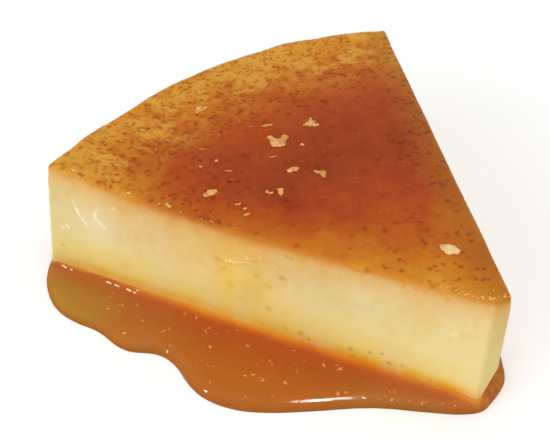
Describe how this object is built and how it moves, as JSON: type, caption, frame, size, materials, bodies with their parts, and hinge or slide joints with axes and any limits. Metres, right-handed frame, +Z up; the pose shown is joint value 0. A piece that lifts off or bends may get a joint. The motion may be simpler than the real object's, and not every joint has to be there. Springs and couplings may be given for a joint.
{
  "type": "creme caramel flan slice",
  "caption": "Wedge-shaped slice of creme caramel: set custard with a caramel-stained top, standing in a shallow pool of amber syrup.",
  "frame": {"origin": "centre of the footprint of slice and pool together, on the surface that the flan stands on", "axes": "+Z up out of the caramel top; the long front cut lies along X and faces -Y; the point is at +X and the round rim at -X"},
  "size_m": [0.1174, 0.1212, 0.0331],
  "materials": {
    "set_custard": null,
    "caramel_syrup": null
  },
  "bodies": {
    "root": {"custard_slice": "set_custard", "caramel_sauce": "caramel_syrup"}
  },
  "joints": []
}
